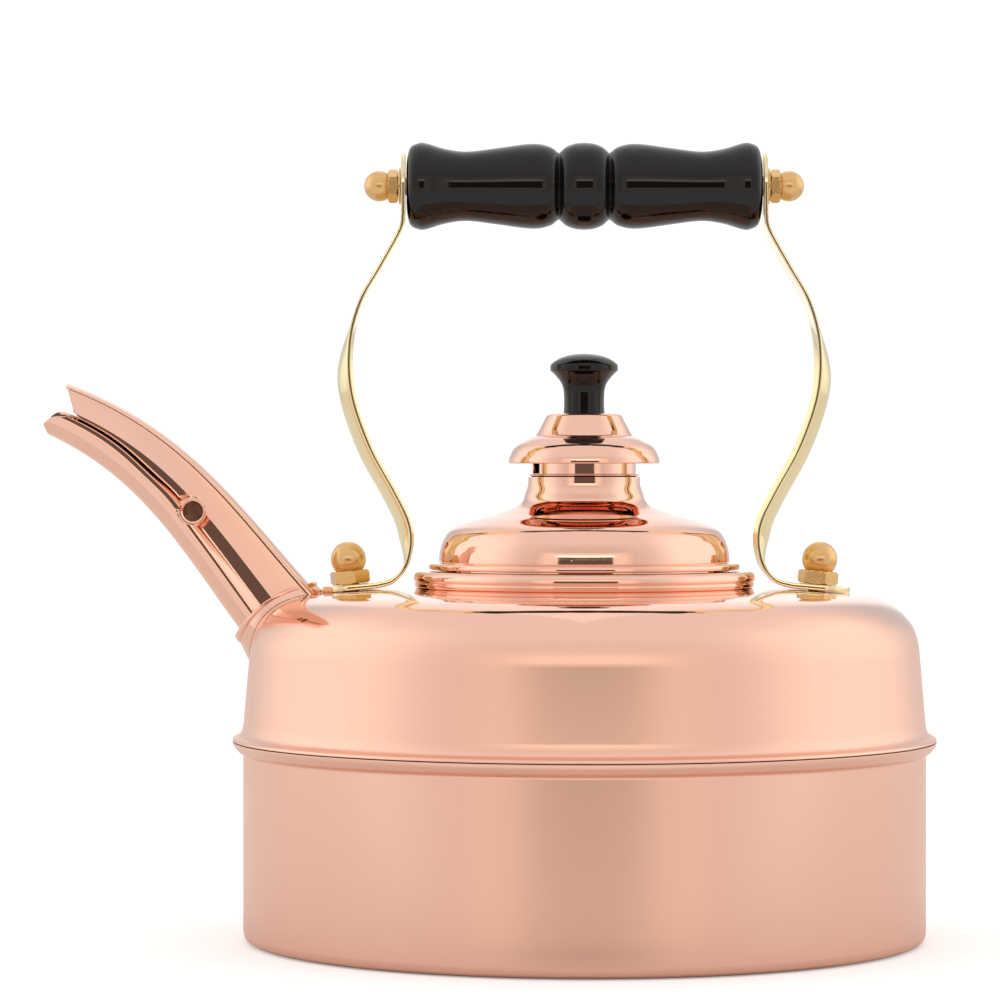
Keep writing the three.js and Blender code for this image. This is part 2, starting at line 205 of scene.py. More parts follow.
# %% Node helpers
def new_material(name):
    """A material with its node tree, its shader, and a maker of linked nodes."""
    material = bpy.data.materials.new(name)
    material.use_nodes = True
    tree = material.node_tree
    shader = tree.nodes["Principled BSDF"]

    def node(kind, values=None, **links):
        made = tree.nodes.new(kind)
        for key, value in (values or {}).items():
            if hasattr(made, key):
                setattr(made, key, value)
            else:
                made.inputs[key].default_value = value
        for key, source in links.items():
            slot = made.inputs[int(key[1:])] if key[0] == "i" and key[1:].isdigit() else (
                made.inputs[key.replace("_", " ")])
            tree.links.new(source, slot)
        return made

    return material, tree, shader, node


def spun_number(node):
    """Radius less height of a point, in metres, as a node output."""
    place = node("ShaderNodeTexCoord").outputs["Object"]
    parts = node("ShaderNodeSeparateXYZ", Vector=place).outputs
    xx = node("ShaderNodeMath", {"operation": "MULTIPLY"}, i0=parts[0], i1=parts[0]).outputs[0]
    yy = node("ShaderNodeMath", {"operation": "MULTIPLY"}, i0=parts[1], i1=parts[1]).outputs[0]
    rr = node("ShaderNodeMath", {"operation": "ADD"}, i0=xx, i1=yy).outputs[0]
    r = node("ShaderNodeMath", {"operation": "SQRT"}, i0=rr).outputs[0]
    return place, parts[2], node("ShaderNodeMath", {"operation": "SUBTRACT"}, i0=r,
                                 i1=parts[2]).outputs[0]


def ramp(node, value, low, high, out_low, out_high):
    """Value mapped smoothly from low..high to out_low..out_high, and held outside."""
    made = node("ShaderNodeMapRange", {"interpolation_type": "SMOOTHSTEP"}, Value=value)
    for name, number in zip(("From Min", "From Max", "To Min", "To Max"),
                            (low, high, out_low, out_high)):
        made.inputs[name].default_value = number
    return made.outputs["Result"]


def rings(node, number, scale, detail=3.0):
    """Noise read from one number only, so it is the same all round a turned surface."""
    made = node("ShaderNodeTexNoise", {"noise_dimensions": "1D", "Scale": scale,
                                       "Detail": detail, "Roughness": 0.65}, W=number)
    return made.outputs["Fac"]


def clouds(node, place, scale, detail=2.0):
    """Soft noise in space."""
    made = node("ShaderNodeTexNoise", {"Scale": scale, "Detail": detail}, Vector=place)
    return made.outputs["Fac"]


def bump(node, shader, tree, height, distance, strength=1.0, before=None):
    """Adds a height field to the surface normal; distance is its depth in metres."""
    links = {"Height": height}
    if before is not None:
        links["Normal"] = before
    made = node("ShaderNodeBump", {"Distance": distance, "Strength": strength}, **links)
    tree.links.new(made.outputs["Normal"], shader.inputs["Normal"])
    return made.outputs["Normal"]


# %% [markdown]
# Copper comes in two finishes here. The walls were spun and then brushed, so they are satin
# and stretch a highlight up and down; the shoulder, the lid and the spout were buffed to a
# mirror. On the upper shell both meet, so the finish changes with height, from BUFFED_FROM
# in metres. The inside of the spout gets a dark, rough, cloudy copper: partly the browning of
# unpolished metal, partly painted shade, so it is dark where one looks into it.


# %% Copper
COPPER = (0.925, 0.570, 0.445, 1)
COPPER_DEEP = (0.905, 0.535, 0.400, 1)
BUFFED_FROM = 0.0925


def tinted(node, fac, pale, deep):
    """A colour between two tints of the same metal."""
    made = node("ShaderNodeMix", {"data_type": "RGBA"})
    made.inputs[6].default_value = pale
    made.inputs[7].default_value = deep
    made.id_data.links.new(fac, made.inputs[0])
    return made.outputs[2]


def polished_copper(name="polished_copper"):
    """Mirror copper: faint buffing waves, shallow pits and a hardly seen change of tint."""
    material, tree, shader, node = new_material(name)
    place, height, number = spun_number(node)
    shader.inputs["Metallic"].default_value = 1.0
    tint = tinted(node, clouds(node, place, 60), COPPER, COPPER_DEEP)
    tree.links.new(tint, shader.inputs["Base Color"])
    rough = ramp(node, clouds(node, place, 140, 4), 0.35, 0.75, 0.045, 0.085)
    tree.links.new(rough, shader.inputs["Roughness"])
    pits = node("ShaderNodeTexVoronoi", {"Scale": 260.0}, Vector=place).outputs["Distance"]
    pits = ramp(node, pits, 0.02, 0.07, 0, 1)
    first = bump(node, shader, tree, pits, 0.00003, 0.35)
    bump(node, shader, tree, rings(node, number, 900), 0.0000015, 0.5, first)
    return material


def satin_copper(name="satin_copper", polish_from=None):
    """Brushed copper with rings along the outline; above polish_from, in metres, it is
    buffed bright."""
    material, tree, shader, node = new_material(name)
    place, height, number = spun_number(node)
    shader.inputs["Metallic"].default_value = 1.0
    shader.inputs["Anisotropic"].default_value = 0.25
    around = node("ShaderNodeTangent", {"direction_type": "RADIAL", "axis": "Z"}).outputs[0]
    tree.links.new(around, shader.inputs["Tangent"])
    lines = rings(node, number, 2600, 4)
    tint = tinted(node, ramp(node, lines, 0, 1, 0.3, 0.7), COPPER, COPPER_DEEP)
    tree.links.new(tint, shader.inputs["Base Color"])
    brushed = ramp(node, lines, 0.25, 0.8, 0.29, 0.33)
    if polish_from is not None:
        buffed = ramp(node, height, polish_from - 0.004, polish_from + 0.002, 0, 1)
        mixed = node("ShaderNodeMix", {}, i0=buffed, i2=brushed)
        mixed.inputs[3].default_value = 0.06
        brushed = mixed.outputs[0]
    tree.links.new(brushed, shader.inputs["Roughness"])
    first = bump(node, shader, tree, clouds(node, place, 9), 0.0004, 0.12)
    bump(node, shader, tree, lines, 0.000001, 0.15, first)
    return material


def browned_copper_and_painted_shade():
    """Dark, rough and cloudy copper: partly the browning of metal that was never polished,
    partly painted shade for the dark inside of the spout and the whistle.
    """
    material, tree, shader, node = new_material("browned_copper_and_painted_shade")
    place = node("ShaderNodeTexCoord").outputs["Object"]
    shader.inputs["Metallic"].default_value = 1.0
    patches = clouds(node, place, 400, 3)
    tree.links.new(tinted(node, patches, (0.30, 0.17, 0.11, 1), (0.16, 0.09, 0.06, 1)),
                   shader.inputs["Base Color"])
    tree.links.new(ramp(node, patches, 0.3, 0.7, 0.40, 0.55), shader.inputs["Roughness"])
    return material


mirror_finish = polished_copper()
browned_and_painted_shade_finish = browned_copper_and_painted_shade()
wall_finish = satin_copper()
shell_finish = satin_copper("satin_to_polished_copper", polish_from=BUFFED_FROM)
print("copper finishes:", mirror_finish.name, wall_finish.name, shell_finish.name)

# %% [markdown]
# The straps are rolled brass strip, polished but still showing the rolling lines along their
# length. The nuts are turned from bar in a yellower brass and left satin, with the tool's
# rings round them. The grip and knob are hardwood under a deep black gloss.


# %% Brass, black lacquer and steel
def strip_brass():
    """Pale polished strip with faint lines along its length, which here is mostly Z."""
    material, tree, shader, node = new_material("polished_brass")
    place = node("ShaderNodeTexCoord").outputs["Object"]
    shader.inputs["Metallic"].default_value = 1.0
    across = node("ShaderNodeSeparateXYZ", Vector=place).outputs[1]
    lines = rings(node, across, 2200, 3)
    tree.links.new(tinted(node, clouds(node, place, 45), (0.90, 0.765, 0.47, 1),
                          (0.86, 0.70, 0.39, 1)), shader.inputs["Base Color"])
    tree.links.new(ramp(node, lines, 0.3, 0.75, 0.10, 0.15), shader.inputs["Roughness"])
    bump(node, shader, tree, clouds(node, place, 120, 2), 0.00003, 0.15)
    return material


def turned_brass(name, centre, axis):
    """Satin bar brass; the tool's rings are noise of the distance along the turning axis."""
    material, tree, shader, node = new_material(name)
    place = node("ShaderNodeTexCoord").outputs["Object"]
    moved = node("ShaderNodeVectorMath", {"operation": "SUBTRACT"}, i0=place)
    moved.inputs[1].default_value = centre
    along = node("ShaderNodeVectorMath", {"operation": "DOT_PRODUCT"}, i0=moved.outputs[0])
    along.inputs[1].default_value = axis
    lines = rings(node, along.outputs["Value"], 5200, 3)
    shader.inputs["Metallic"].default_value = 1.0
    tree.links.new(tinted(node, lines, (0.80, 0.52, 0.24, 1), (0.72, 0.43, 0.17, 1)),
                   shader.inputs["Base Color"])
    tree.links.new(ramp(node, lines, 0.3, 0.75, 0.22, 0.32), shader.inputs["Roughness"])
    bump(node, shader, tree, lines, 0.000005, 0.3)
    return material


def black_lacquer():
    """Deep black gloss over turned wood: a nearly black brown, smooth, and with the weak
    reflection of a lacquer that has sunk in."""
    material, tree, shader, node = new_material("black_lacquer")
    place = node("ShaderNodeTexCoord").outputs["Object"]
    grain = node("ShaderNodeMapping", {"Scale": (30, 260, 260)}, Vector=place).outputs[0]
    tree.links.new(tinted(node, clouds(node, grain, 1.0, 4), (0.002, 0.0018, 0.0016, 1),
                          (0.005, 0.003, 0.002, 1)), shader.inputs["Base Color"])
    shader.inputs["Specular IOR Level"].default_value = 0.36
    tree.links.new(ramp(node, clouds(node, place, 90, 3), 0.3, 0.7, 0.04, 0.07),
                   shader.inputs["Roughness"])
    bump(node, shader, tree, clouds(node, place, 55, 2), 0.00006, 0.10)
    return material


def plain_steel():
    """Turned steel of the hidden screws and rod, a little dull, with fine clouding."""
    material, tree, shader, node = new_material("plain_steel")
    place = node("ShaderNodeTexCoord").outputs["Object"]
    shader.inputs["Metallic"].default_value = 1.0
    tree.links.new(tinted(node, clouds(node, place, 300, 3), (0.62, 0.61, 0.59, 1),
                          (0.50, 0.49, 0.48, 1)), shader.inputs["Base Color"])
    tree.links.new(ramp(node, clouds(node, place, 700, 3), 0.3, 0.7, 0.28, 0.42),
                   shader.inputs["Roughness"])
    return material


strap_finish = strip_brass()
black_finish = black_lacquer()
steel_finish = plain_steel()
print("other finishes:", strap_finish.name, black_finish.name, steel_finish.name)

# %% [markdown]
# ## The body
#
# Two spun cups meet at a folded seam. Each is an outline turned round the vertical axis; the
# outline runs up the outside and back down the inside, so the sheet has its real thickness.

# %% Lower pan
SHEET = 1.2
WALL_R = SEAM_R - 3.1
pan_outline = softened([
    (0, 0, 0), (WALL_R, 0, 3.2), (WALL_R, PAN_TOP - 3.5, 0.6),
    (SEAM_R - 1.8, PAN_TOP - 2.9, 0.9), (SEAM_R - 0.2, PAN_TOP - 0.9, 0.9),
    (SEAM_R, PAN_TOP + 0.1, 0.25),
    (WALL_R - SHEET, PAN_TOP + 0.1, 0.2), (WALL_R - SHEET, SHEET, 2.6), (0, SHEET, 0)], 9)
fit(piece("spun_lower_pan", turned_grid(pan_outline, 256)), "kettle_body", "satin_copper",
    wall_finish, "lower_pan")

# %% [markdown]
# The upper cup starts as the other half of the seam, rises a little inwards, and rolls over
# into the shoulder. The roll is one Bezier arc, tangent to the wall and to the top, so that
# reflections run over it without a break. Its outer line is kept, because the spout ring has
# to follow it later. The passage into the spout is cut after the shell is made.

# %% Upper shell
SEAM_FOOT = PAN_TOP + 0.35
seam_upper = softened([
    (WALL_R - SHEET, SEAM_FOOT, 0), (SEAM_R, SEAM_FOOT, 0.25),
    (SEAM_R - 0.2, SEAM_FOOT + 0.8, 0.4), (SEAM_R - 2.4, SEAM_FOOT + 1.8, 1.1),
    (WALL_R - 0.05, SEAM_FOOT + 4.1, 1.4), (WALL_R - 1.8, 82, 0)], 8)
roll = bezier((WALL_R - 1.8, 82), (WALL_R - 2.2, 91.5), (91.0, 98.3), (80, 99.5), 40)
top_line = np.array([(62.0, 101.0), (44.5, SHOULDER_TOP)])
shoulder_line = np.vstack([seam_upper[-1:], roll[1:], top_line])
inside = offset(shoulder_line, SHEET)[::-1]
shell_outline = np.vstack([seam_upper, shoulder_line[1:], inside,
                           [(WALL_R - SHEET, SEAM_FOOT + 4)]])
shell = piece("spun_upper_shell", turned_grid(shell_outline, 256), loop_rows=True)


def shell_height(radius):
    """Height of the outside of the shell at a distance from the axis; 0 beyond its wall."""
    return np.interp(radius, shoulder_line[::-1, 0], shoulder_line[::-1, 1], right=0)


fit(shell, "kettle_body", "satin_copper", shell_finish, "upper_shell")

# %% [markdown]
# The lid's seat is a separate ring with two beads and a thin groove between them.

# %% Neck collar
SLEEVE_R = 44.2
BORE_R = 42.0
z = COLLAR_TOP
collar_outline = softened([
    (BORE_R, 98.5, 0), (SLEEVE_R, 98.5, 0.2), (SLEEVE_R, 101.2, 0.1), (47.4, 101.15, 0.2),
    (48.8, 101.4, 0.6), (COLLAR_R - 0.25, z - 3.8, 0.8), (48.95, z - 3.2, 0.25),
    (COLLAR_R, z - 2.7, 0.4), (COLLAR_R, z - 1.4, 0.9), (48.5, z - 0.2, 0.9),
    (45.3, z, 0.4), (BORE_R, z, 0.6), (BORE_R, 98.5, 0)])
fit(piece("beaded_neck_collar", turned_grid(collar_outline)), "kettle_body",
    "polished_copper", mirror_finish, "neck_collar")

# %% [markdown]
# ## The lid
#
# The lid has a rolled lip, an upright side, a dome and a narrow neck. Side, dome and neck
# are one smooth curve through a few points, offset inwards for the sheet. The lip is added
# as softened corners.

# %% Lid and its sleeve
LIP_Z = edges("lid_shell")[0][2]
LID_SHEET = 0.9
dome = through([(42.1, 109.0), (42.05, 110.3), (41.75, 112.4), (40.7, 115.4), (38.4, 118.4),
                (32.3, 120.9), (25.3, 122.7), (20.4, 124.5), (17.9, 126.4), (17.1, 128.6),
                (16.3, 131.0), (16.2, LID_TOP)], 100)
lid_inside = offset(dome, LID_SHEET)[::-1]
lip = softened([(41.2, LIP_Z, 0), (LID_R, LIP_Z, 0.6), (LID_R, LIP_Z + 1.7, 0.8),
                (42.4, LIP_Z + 2.1, 0.25), (42.1, 109.0, 0)])
lid_outline = np.vstack([lip, dome[1:], lid_inside])
lid = piece("domed_lid", turned_grid(lid_outline), loop_rows=True)
fit(lid, "lid", "polished_copper", mirror_finish, "lid_shell")

skirt_low, skirt_high = edges("lid_skirt")
skirt_r = skirt_high[0]
skirt_outline = softened([
    (skirt_r - 1, skirt_low[2], 0), (skirt_r, skirt_low[2], 0.3), (skirt_r, skirt_high[2], 0.2),
    (skirt_r - 1, skirt_high[2], 0.2), (skirt_r - 1, skirt_low[2], 0)])
fit(piece("lid_sleeve", turned_grid(skirt_outline)), "lid", "polished_copper",
    mirror_finish, "lid_skirt")

# %% [markdown]
# Steam leaves through a slot in a short tube that stands in the neck of the lid, and a hood
# over it turns the steam down. Tube, hood and knob are held together by one screw and turn
# as one. The slot is a true opening, so the tube's grid leaves those cells out.

# %% Steam tube with its slot
tube_low, tube_high = edges("vent_tube")
TUBE_R = 15.0
TUBE_BORE = 14.2
SLOT_LOW, SLOT_HIGH = 134.4, 137.3
SLOT_FROM, SLOT_TO = np.radians(-8), np.radians(30)


def slotted_tube(name):
    """A turned tube whose outline has rows at the slot's edges; cells inside the slot's
    angle and height are dropped from both walls, and the two rims are bridged. The
    bead over the lid's edge is undercut, so the gap below it stays dark."""
    outer = softened([(TUBE_BORE, tube_low[2], 0), (16.7, tube_low[2], 0.3),
                      (16.7, tube_low[2] + 0.8, 0.3), (TUBE_R, tube_low[2] + 0.9, 0.2),
                      (TUBE_R, LID_TOP + 0.05, 0), (15.95, LID_TOP + 0.45, 0.05),
                      (15.95, LID_TOP + 0.8, 0.15), (TUBE_R, LID_TOP + 0.9, 0.1),
                      (TUBE_R, SLOT_LOW, 0)])
    above = np.array([(TUBE_R, SLOT_HIGH), (TUBE_R, tube_high[2]), (TUBE_BORE, tube_high[2]),
                      (TUBE_BORE, SLOT_HIGH), (TUBE_BORE, SLOT_LOW), (TUBE_BORE, tube_low[2])])
    outline = np.vstack([outer, above])
    made = piece(name, turned_grid(outline, 180))
    work = bmesh.new()
    work.from_mesh(made.data)
    middle = [(f, f.calc_center_median() / MM) for f in work.faces]
    hole = [f for f, c in middle if SLOT_LOW < c.z < SLOT_HIGH
            and SLOT_FROM < np.arctan2(-c.y, -c.x) < SLOT_TO]
    bmesh.ops.delete(work, geom=hole, context="FACES")
    rims = [e for e in work.edges if e.is_boundary]
    bmesh.ops.bridge_loops(work, edges=rims)
    bmesh.ops.recalc_face_normals(work, faces=work.faces)
    work.to_mesh(made.data)
    work.free()
    return made


steam_tube = slotted_tube("steam_tube")
fit(steam_tube, "vent_cap", "polished_copper", mirror_finish, "vent_tube")

# %% [markdown]
# The hood is a small bell: a rounded rim, a shoulder, a narrow ledge and a straight cone up
# to the knob. The ledge is only a millimetre wide, but it makes the bright and dark line
# that separates the bell from the cone.

# %% Hood
hood_line = softened([
    (HOOD_R - 0.9, HOOD_FOOT, 0), (HOOD_R, HOOD_FOOT, 0.5), (HOOD_R - 0.1, HOOD_FOOT + 1.6, 1.0),
    (HOOD_R - 1.6, HOOD_FOOT + 4.9, 2.2), (HOOD_R - 5.6, HOOD_FOOT + 7.2, 1.6),
    (14.2, HOOD_FOOT + 7.9, 0.5), (13.3, HOOD_FOOT + 9.3, 0.6), (10.8, HOOD_TOP - 0.4, 0.4),
    (9.8, HOOD_TOP, 0.5), (2.6, HOOD_TOP, 0)], 9)
hood_inside = np.array([(2.6, HOOD_TOP - 0.9), (9.4, HOOD_TOP - 0.9), (12.2, HOOD_FOOT + 8.8),
                        (13.4, HOOD_FOOT + 7.1), (15.6, HOOD_FOOT + 6.3)])
hood_curve = bezier((15.6, HOOD_FOOT + 6.3), (19.4, HOOD_FOOT + 4.9), (20.6, HOOD_FOOT + 3.4),
                    (HOOD_R - 0.9, HOOD_FOOT), 14)
hood = piece("steam_hood", turned_grid(np.vstack([hood_line, hood_inside, hood_curve[1:-1]])),
             loop_rows=True)
fit(hood, "vent_cap", "polished_copper", mirror_finish, "vent_hood")

# %% [markdown]
# The knob is turned like a small baluster: a straight foot that stands on the hood, a waist
# that flares into a thin brim with two crisp edges, and a shallow dome.

# %% Knob
foot = edges("lid_knob")[0][2]
knob_side = through([(5.95, HOOD_TOP + 0.02), (5.8, foot + 2.2), (5.85, foot + 5),
                     (6.1, foot + 7.2), (6.9, foot + 9.0), (8.2, foot + 10.6),
                     (9.3, foot + 11.7)], 30)
brim = softened([(9.3, foot + 11.7, 0), (9.8, foot + 12.1, 0.25), (9.8, foot + 13.8, 0.5),
                 (9.2, foot + 14.4, 0)])
knob_crown = np.vstack([brim, bezier((9.2, foot + 14.4), (7.6, foot + 15.9),
                                     (4.6, KNOB_TOP), (0, KNOB_TOP), 24)[1:]])
knob_bore = np.array([(0, foot + 8.7), (2.6, foot + 8.7), (2.6, HOOD_TOP + 0.02)])
knob = piece("turned_knob", turned_grid(np.vstack([knob_bore, knob_side, knob_crown]), 128))
fit(knob, "vent_cap", "black_gloss", black_finish, "lid_knob")

# %% [markdown]
# ## The spout
#
# The spout is pressed from sheet, and its section is not round: the sides are pushed in
# along the middle, so that it reads as a rounder tube lying on another. Seen across, the
# side of the upper half slopes inwards to a crisp edge; then comes a flat web, and then a
# sloping flank out to the lower half. The section below is that outline, and it is carried
# along one Bezier curve while its height, width and web change.

# %% Spout section
SPOUT_CURVE = bezier((-87.6, 93.6), (-108.0, 118.5), (-120.8, 140.9), (-153.7, 153.7), 241)
steps = np.linalg.norm(np.diff(SPOUT_CURVE, axis=0), axis=1)
SPOUT_RUN = np.r_[0, np.cumsum(steps)]
SPOUT_LENGTH = SPOUT_RUN[-1]
WHISTLE_X, WHISTLE_Z = (edges("whistle_tube")[0] + edges("whistle_tube")[1])[[0, 2]] / 2
WHISTLE_RUN = SPOUT_RUN[np.argmin(np.hypot(SPOUT_CURVE[:, 0] - WHISTLE_X,
                                           SPOUT_CURVE[:, 1] - WHISTLE_Z))]


def spout_frame(run):
    """Centre (x, z) and forward direction at a distance along the curve, straight beyond."""
    held = np.clip(run, 0, SPOUT_LENGTH)
    centre = np.stack([np.interp(held, SPOUT_RUN, SPOUT_CURVE[:, k]) for k in (0, 1)], -1)
    slope = np.gradient(SPOUT_CURVE, axis=0) / np.gradient(SPOUT_RUN)[:, None]
    ahead = np.stack([np.interp(held, SPOUT_RUN, slope[:, k]) for k in (0, 1)], -1)
    ahead /= np.linalg.norm(ahead, axis=-1, keepdims=True)
    return centre + ahead * (run - held)[..., None], ahead


def section(share):
    """Half of the section at a share 0..1 of the length, from the top to the bottom, as
    (level, half width), where level is 1 at the top and -1 at the bottom. Top and bottom are
    squared-off ellipses, width = w (1 - |u|^p)^(1/2). The web is widest between the root and
    the whistle, and a little wider again just beyond it."""
    lobe = 7.9 + (6.1 - 7.9) * share
    web = 3.4 + (2.0 - 3.4) * share
    ledge = 0.10 + 0.04 * np.sin(np.pi * share)
    before_whistle = 1 / (1 + np.exp((share - 0.46) / 0.035))
    beyond_whistle = np.exp(-((share - 0.60) / 0.13) ** 2)
    web_low = ledge - 0.10 - 0.24 * before_whistle - 0.12 * beyond_whistle
    flank = web_low - 0.22 + 0.10 * share
    up = np.sin(np.linspace(np.pi / 2, 0, 20))
    brow = 0.84
    crown = np.column_stack([brow + (1 - brow) * up, lobe * (1 - up**2.2) ** 0.5])
    down = np.linspace(0, 1, 15)[1:]
    side = np.column_stack([brow + (ledge - brow) * down, lobe * (1 - 0.20 * down**1.1)])
    step = softened([(ledge, side[-1, 1], 0), (ledge - 0.01, web, 0.02),
                     (web_low, web, 0.03), (web_low - 0.01, lobe - 1.9, 0.05),
                     (flank + 0.02, lobe - 0.1, 0.04), (flank, lobe, 0)], 4, 6)
    keel = np.column_stack([flank - (1 + flank) * up[::-1], lobe * (1 - up[::-1]**2.1) ** 0.5])
    return np.vstack([crown, side, step[1:], keel[1:]])


print("half of the section has", len(section(0.5)), "points")

# %% [markdown]
# The mouth is cut to a shape: how far it stands back from the end of the curve is a smooth
# curve of the level, a little different on the two sides. Round the whistle the side stands
# out as a boss, and the whistle's hole is opened there.

# %% Spout surface
MOUTH_NEAR = through([(-1, 2.0), (-0.85, 0.7), (-0.72, 0.0), (-0.43, 2.1), (-0.14, 7.2),
                      (-0.03, 8.1), (0.39, 5.4), (0.95, 2.0), (1, 1.9)], 90)
MOUTH_FAR = through([(-1, 2.0), (-0.85, 0.7), (-0.7, 0.0), (-0.4, 0.6), (-0.16, 3.2),
                     (-0.03, 8.1), (0.39, 5.4), (0.95, 2.0), (1, 1.9)], 90)
ROOT_HEIGHT, MOUTH_HEIGHT = 12.2, 7.8
BOSS_Y = 6.0
BOSS_FLAT, BOSS_ROUND = 3.4, 2.1
HOLE_R = 3.6


def spout_half(side, mouth, stations=200, root=-3.0):
    """Point = centre + up * height * level + side * width. The last station of each level
    lies where the mouth is cut, which is set back from the curve's end. Stations are packed
    closer round the whistle, where a quarter-round boss stands out of the side."""
    levels = section(0.5)[:, 0]
    samples = 60
    full = np.stack([section(s) for s in np.linspace(0, 1, samples)])
    ends = SPOUT_LENGTH - np.interp(levels, mouth[:, 0], mouth[:, 1])
    even = np.linspace(0, 1, stations)[:, None]
    packed = even - 0.055 * (np.sin(2 * np.pi * (even - 0.45)) + np.sin(2 * np.pi * 0.45))
    run = root + packed * (ends - root)
    share = np.clip(run / SPOUT_LENGTH, 0, 1)
    column = np.arange(len(levels)) + np.zeros(run.shape, int)
    low = np.minimum((share * (samples - 1)).astype(int), samples - 2)
    mix = (share * (samples - 1) - low)[..., None]
    half = full[low, column] * (1 - mix) + full[low + 1, column] * mix
    level, width = half[..., 0], half[..., 1]
    up = (ROOT_HEIGHT + (MOUTH_HEIGHT - ROOT_HEIGHT) * share) * level
    centre, ahead = spout_frame(run)
    x = centre[..., 0] + ahead[..., 1] * up
    z = centre[..., 1] - ahead[..., 0] * up
    away = np.hypot(x - WHISTLE_X, z - WHISTLE_Z)
    fall = np.clip((away - BOSS_FLAT) / BOSS_ROUND, 0, 1)
    width = np.maximum(width, BOSS_Y * np.sqrt(1 - fall**2))
    return np.stack([x, side * width, z], -1)


def open_hole(made, radius):
    """Takes out the sheet's faces inside the whistle's hole, and moves the vertices of the
    rim that is left onto the true circle."""
    def away(point):
        return np.hypot(point.x / MM - WHISTLE_X, point.z / MM - WHISTLE_Z)

    work = bmesh.new()
    work.from_mesh(made.data)
    inner = [f for f in work.faces if away(f.calc_center_median()) < radius]
    bmesh.ops.delete(work, geom=inner, context="FACES")
    for vertex in work.verts:
        reach = away(vertex.co)
        if vertex.is_boundary and reach < radius + 2:
            vertex.co.x += (vertex.co.x - WHISTLE_X * MM) * (radius / reach - 1)
            vertex.co.z += (vertex.co.z - WHISTLE_Z * MM) * (radius / reach - 1)
    work.to_mesh(made.data)
    work.free()


spout_near = spout_half(-1, MOUTH_NEAR)
spout_far = spout_half(1, MOUTH_FAR)[:, ::-1]
spout_points = np.concatenate([spout_near, spout_far[:, 1:-1]], axis=1)
spout = piece("pressed_spout", spout_points, sharp=28)
open_hole(spout, HOLE_R)
solid = spout.modifiers.new("sheet", "SOLIDIFY")
solid.thickness = 0.8 * MM
solid.offset = -1
solid.use_even_offset = False
# the inside of the sheet takes the second material: browned copper with painted shade
solid.material_offset = 1
fit(spout, "kettle_body", "polished_copper", mirror_finish, "spout_shell")
spout.data.materials.append(browned_and_painted_shade_finish)
print("spout length", round(SPOUT_LENGTH, 1), "whistle at", round(WHISTLE_RUN, 1))

# %% [markdown]
# Behind the spout the body has an oval passage, cut with a boolean modifier by a closed tube
# that lies along the spout's own line.


# %% Passage from the body into the spout
def finish_modifiers(made):
    """Applies every modifier of a piece."""
    bpy.context.view_layer.update()
    graph = bpy.context.evaluated_depsgraph_get()
    mesh = bpy.data.meshes.new_from_object(made.evaluated_get(graph))
    made.modifiers.clear()
    made.data = mesh


around = np.linspace(0, 2 * np.pi, 64, endpoint=False)
centre, ahead = spout_frame(np.array([-16.0, 4.0]))
rim = np.stack([np.cos(around) * 10.6, np.sin(around) * 6.4], -1)
passage = np.stack([centre[:, None, 0] + ahead[:, None, 1] * rim[None, :, 0],
                    rim[None, :, 1] + 0 * centre[:, None, 0],
                    centre[:, None, 1] - ahead[:, None, 0] * rim[None, :, 0]], -1)
cutter = piece("cutter", passage, seal=True)
cut = shell.modifiers.new("cut", "BOOLEAN")
cut.operation = "DIFFERENCE"
cut.solver = "EXACT"
cut.object = cutter
finish_modifiers(shell)
bpy.data.objects.remove(cutter)
print("shell now has", len(shell.data.polygons), "faces")

# %% [markdown]
# The whistle is a short bush across the spout with a rounded rim at each end. A thin disc
# of the dark copper closes it in the middle; its darkness is painted shade, so the bore looks
# dark inside.

# %% Whistle bush
bush_half = BOSS_Y
bush = softened([
    (2.8, -bush_half + 0.3, 0), (2.8, bush_half - 0.3, 0.3), (3.4, bush_half + 0.3, 0.5),
    (4.0, bush_half - 0.4, 0.5), (4.0, -bush_half + 0.4, 0.5), (3.4, -bush_half - 0.3, 0.5),
    (2.8, -bush_half + 0.3, 0)])
# a dark disc across the middle of the bore: painted shade
bore_shade_disc = np.array([(0, 0.4), (2.82, 0.4), (2.82, -0.4), (0, -0.4)])
for name, outline, finish in (("whistle_bush", bush, mirror_finish),
                              ("whistle_bore_shade_disc", bore_shade_disc, browned_and_painted_shade_finish)):
    made = laid(turned_grid(outline, 96), (WHISTLE_X, 0, WHISTLE_Z), (0, 1, 0), (1, 0, 0))
    fit(piece(name, made, loop_rows=name == "whistle_bush"), "kettle_body",
        "polished_copper", finish, "whistle_tube")

# %% [markdown]
# A beaded ring covers the joint between spout and body. It is a tilted ellipse whose sides
# ride up over the round of the shoulder, and its lower edge follows the shell. That edge is
# found by halving: each generator of the ring is shortened until it just meets the shell.

# %% Spout ring
TILT = np.radians(33.7)
RING_CENTRE = np.array([-88.2, 93.6])


def ring_point(angle, size, outward, height):
    """Point of the ring: an ellipse in the tilted plane, raised along the ring's own axis
    by height + 3 sin(angle)^2."""
    along = (size * 12.3 + outward) * np.cos(angle)
    y = (size * 9.0 + outward) * np.sin(angle)
    rise = height + 3.0 * (size * np.sin(angle)) ** 2
    return np.stack([RING_CENTRE[0] + along * np.cos(TILT) - rise * np.sin(TILT), y,
                     RING_CENTRE[1] + along * np.sin(TILT) + rise * np.cos(TILT)], -1)


def meets_shell(angle, size, outward):
    """Height at which the generator meets the shell, by thirty halvings."""
    low, high = -16.0 + 0 * angle, 2.0 + 0 * angle
    for _ in range(30):
        middle = (low + high) / 2
        p = ring_point(angle, size, outward, middle)
        outside = p[..., 2] > shell_height(np.hypot(p[..., 0], p[..., 1]))
        high = np.where(outside, middle, high)
        low = np.where(outside, low, middle)
    return high


